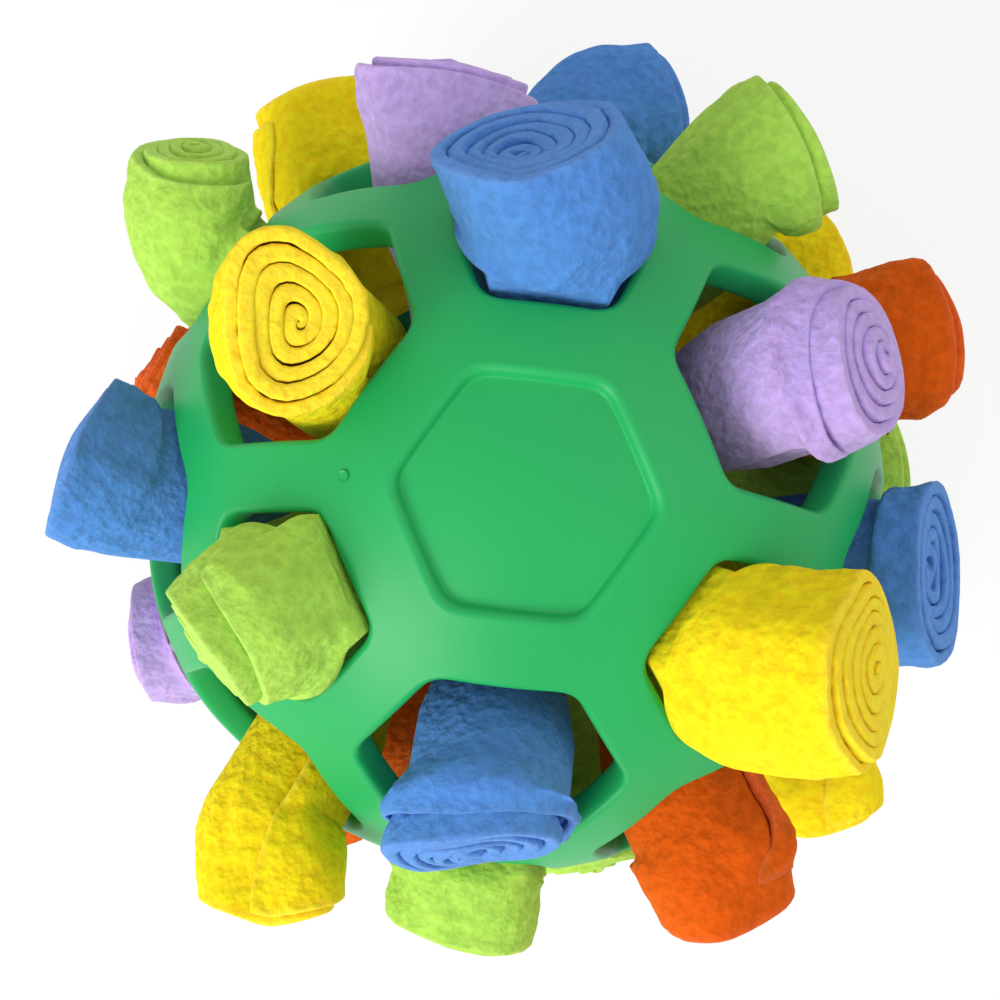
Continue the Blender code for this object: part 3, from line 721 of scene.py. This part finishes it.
class Finish:
    """A material made node by node."""

    # The colour sockets of a Mix node, by their number
    FIRST, SECOND, MIXED = 6, 7, 2

    def __init__(self, name):
        self.material = bpy.data.materials.new(name)
        self.material.use_nodes = True
        self.tree = self.material.node_tree
        self.shader = self.tree.nodes["Principled BSDF"]
        self.place = self.add("ShaderNodeTexCoord").outputs["Object"]

    def add(self, kind, **settings):
        """A new node."""
        node = self.tree.nodes.new(kind)
        for name, value in settings.items():
            setattr(node, name, value)
        return node

    def join(self, start, end):
        """Links an output to an input."""
        self.tree.links.new(start, end)

    def noise(self, scale, detail, roughness):
        """Soft noise, from 0 to 1, of so many waves a metre."""
        node = self.add("ShaderNodeTexNoise")
        node.inputs["Scale"].default_value = scale
        node.inputs["Detail"].default_value = detail
        node.inputs["Roughness"].default_value = roughness
        self.join(self.place, node.inputs["Vector"])
        return node.outputs["Fac"]

    def spread(self, value, low, high, to_low=0, to_high=1):
        """A value moved from one range to another, and held within it."""
        node = self.add("ShaderNodeMapRange", clamp=True)
        for name, number in zip(("From Min", "From Max", "To Min", "To Max"), (low, high, to_low, to_high)):
            node.inputs[name].default_value = number
        self.join(value, node.inputs["Value"])
        return node.outputs["Result"]

    def maths(self, operation, first, second):
        """Two values put together, each an output or a number."""
        node = self.add("ShaderNodeMath", operation=operation)
        for socket, value in zip(node.inputs, (first, second)):
            if isinstance(value, (int, float)):
                socket.default_value = value
            else:
                self.join(value, socket)
        return node.outputs[0]

    def mix(self, share, first, second):
        """A share of the way from the first colour to the second, each an output or a colour."""
        node = self.add("ShaderNodeMix", data_type="RGBA")
        self.join(share, node.inputs["Factor"])
        for number, value in ((self.FIRST, first), (self.SECOND, second)):
            if isinstance(value, tuple):
                node.inputs[number].default_value = value
            else:
                self.join(value, node.inputs[number])
        return node.outputs[self.MIXED]

    def bump(self, height, distance, strength):
        """Relief on the shader."""
        node = self.add("ShaderNodeBump")
        node.inputs["Strength"].default_value = strength
        node.inputs["Distance"].default_value = distance
        self.join(height, node.inputs["Height"])
        self.join(node.outputs["Normal"], self.shader.inputs["Normal"])

    def set(self, **values):
        """Sets inputs of the shader."""
        for name, value in values.items():
            self.shader.inputs[name.replace("_", " ")].default_value = value


def fleece_finish(name, screen):
    """Brushed fleece: soft tufts of nap with creases between them, painted darker in the creases and lighter
    on the tufts, fine fibres, and fuzzy cut edges.
    """
    made = Finish(name)
    colour = linear(screen)
    tufts = made.noise(scale=540, detail=1.6, roughness=0.5)
    fibres = made.noise(scale=3200, detail=3, roughness=0.7)
    nap = made.maths("ADD", tufts, made.maths("MULTIPLY", fibres, FIBRE_SHARE))
    made.bump(nap, distance=0.0011, strength=0.8)
    # Painted shade and light: the colour darkens in the creases and lightens on the tufts, following the
    # same noise as the relief
    light = made.spread(tufts, low=0.36, high=0.64)
    painted_crease_shade = made.mix(light, shade(colour, by=0.93), shade(colour, by=1.10))
    edge = made.add("ShaderNodeAttribute", attribute_name="cut_edge").outputs["Fac"]
    pale = tuple((1 - PALE) * c + PALE for c in colour[:3]) + (1,)
    cut_fibres = made.spread(fibres, low=0.35, high=0.65, to_low=0.05, to_high=0.5)
    fuzz = made.maths("MULTIPLY", cut_fibres, edge)
    made.join(made.mix(fuzz, painted_crease_shade, pale), made.shader.inputs["Base Color"])
    made.set(Roughness=0.95, Sheen_Weight=0.08, Sheen_Roughness=0.5, Sheen_Tint=pale, Specular_IOR_Level=0.1)
    made.set(Subsurface_Weight=0.35, Subsurface_Scale=0.0018)
    return made.material


def rubber_finish():
    """Satin moulded rubber with faint flow marks, a fine matt grain and a few specks of lint."""
    made = Finish("moulded_rubber")
    colour = linear(RUBBER)
    flow = made.noise(scale=22, detail=3, roughness=0.5)
    grain = made.noise(scale=1500, detail=2, roughness=0.6)
    tone = made.mix(made.spread(flow, low=0.3, high=0.7), shade(colour, by=0.93), shade(colour, by=1.07))
    specks = made.add("ShaderNodeTexVoronoi", feature="F1")
    specks.inputs["Scale"].default_value = 140
    made.join(made.place, specks.inputs["Vector"])
    near = made.spread(specks.outputs["Distance"], low=0.02, high=0.04, to_low=1, to_high=0)
    channel = made.add("ShaderNodeSeparateColor")
    made.join(specks.outputs["Color"], channel.inputs[0])
    few = made.spread(channel.outputs[0], low=0.90, high=0.92, to_low=0, to_high=0.6)
    lint = made.maths("MULTIPLY", near, few)
    made.join(made.mix(lint, tone, LINT), made.shader.inputs["Base Color"])
    satin = made.spread(flow, low=0.3, high=0.7, to_low=0.38, to_high=0.46)
    made.join(satin, made.shader.inputs["Roughness"])
    made.bump(grain, distance=0.00003, strength=0.6)
    made.set(Specular_IOR_Level=0.3)
    return made.material


# The studio

def seen_directly(tree):
    """1 for what the camera sees, in reflections too, and 0 for the light that falls on things."""
    path = tree.nodes.new("ShaderNodeLightPath")
    either = path.outputs["Is Camera Ray"]
    for name in ("Is Glossy Ray", "Is Transmission Ray"):
        more = tree.nodes.new("ShaderNodeMath")
        more.operation = "MAXIMUM"
        tree.links.new(either, more.inputs[0])
        tree.links.new(path.outputs[name], more.inputs[1])
        either = more.outputs[0]
    return either


def blend_shaders(tree, share, first, second, end):
    """Leads a blend of two shaders to the last node of a tree."""
    blend = tree.nodes.new("ShaderNodeMixShader")
    tree.links.new(share, blend.inputs["Fac"])
    tree.links.new(first.outputs[0], blend.inputs[1])
    tree.links.new(second.outputs[0], blend.inputs[2])
    tree.links.new(blend.outputs[0], tree.nodes[end].inputs["Surface"])


def add_floor():
    """White paper under the toy: nearly plain white to the camera, but for the shadow."""
    bpy.ops.object.select_all(action="DESELECT")
    bpy.ops.mesh.primitive_plane_add(size=PAPER_SIZE, location=(0, 0, 0))
    floor = bpy.context.object
    floor.name = "floor"
    paper = bpy.data.materials.new("white_paper")
    paper.use_nodes = True
    tree = paper.node_tree
    tree.nodes.remove(tree.nodes["Principled BSDF"])
    matt = tree.nodes.new("ShaderNodeBsdfDiffuse")
    matt.inputs["Color"].default_value = PAPER
    glow = tree.nodes.new("ShaderNodeEmission")
    glow.inputs["Strength"].default_value = PAPER_GLOW
    white_part = tree.nodes.new("ShaderNodeMath")
    white_part.operation = "MULTIPLY"
    white_part.inputs[1].default_value = PAPER_WHITE
    tree.links.new(seen_directly(tree), white_part.inputs[0])
    blend_shaders(tree, white_part.outputs[0], matt, glow, "Material Output")
    floor.data.materials.append(paper)


def light_room():
    """Soft light from all round, and plain white behind the floor."""
    world = bpy.data.worlds.new("studio")
    bpy.context.scene.world = world
    world.use_nodes = True
    tree = world.node_tree
    room = tree.nodes["Background"]
    room.inputs["Color"].default_value = WHITE
    room.inputs["Strength"].default_value = ROOM_LIGHT
    behind = tree.nodes.new("ShaderNodeBackground")
    behind.inputs["Color"].default_value = WHITE
    blend_shaders(tree, seen_directly(tree), room, behind, "World Output")


def add_lamp(name, place, width, power):
    """A soft square lamp that looks at the ball."""
    light = bpy.data.lights.new(name, "AREA")
    light.size = width
    light.energy = power
    lamp = bpy.data.objects.new(name, light)
    lamp.location = place
    lamp.rotation_euler = (BALL_MIDDLE - Vector(place)).to_track_quat("-Z", "Y").to_euler()
    bpy.context.scene.collection.objects.link(lamp)


def add_camera():
    """The photo's view of the toy."""
    view = bpy.data.cameras.new("camera")
    view.sensor_width = SENSOR
    view.lens = LENS
    view.clip_start = NEAREST
    camera = bpy.data.objects.new("camera", view)
    camera.location = BALL_MIDDLE + CAMERA_FROM_BALL
    camera.rotation_euler = CAMERA_TURN
    bpy.context.scene.collection.objects.link(camera)
    bpy.context.scene.camera = camera


# The toy

ball = truncated_ball()
openings = [Opening(ball, f) for f in sorted(ball.data.polygons, key=ring_order)]
rubber = rubber_finish()
shape_ball(ball, openings, rubber)
add_mould_mark(ball, rubber)
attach(ball, "ball")
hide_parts("rubber_ball")

fleeces = {}
for colour, screen in FLEECE_COLOURS.items():
    fleeces[colour] = fleece_finish("brushed_fleece_" + colour, screen)
made_of = dict.fromkeys(FLEECE_COLOURS, 0)
# The first of the openings is the upper closed panel, and the last is the lower one
for number, (colour, *form) in enumerate(STRIPS):
    strip = Strip(number, openings[number + 1], form[:SHARED], form[SHARED:])
    made_of[colour] += 1
    key = f"{colour}_{made_of[colour]}"
    piece, long = strip.make("wound_strip_" + key)
    piece.data.materials.append(fleeces[colour])
    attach(piece, "roll_" + key)
    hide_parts("fleece_" + key)

add_floor()
light_room()
add_lamp("key", KEY_PLACE, KEY_WIDTH, KEY_POWER)
add_lamp("fill", FILL_PLACE, FILL_WIDTH, FILL_POWER)
add_camera()
bpy.context.scene.view_settings.view_transform = "Standard"
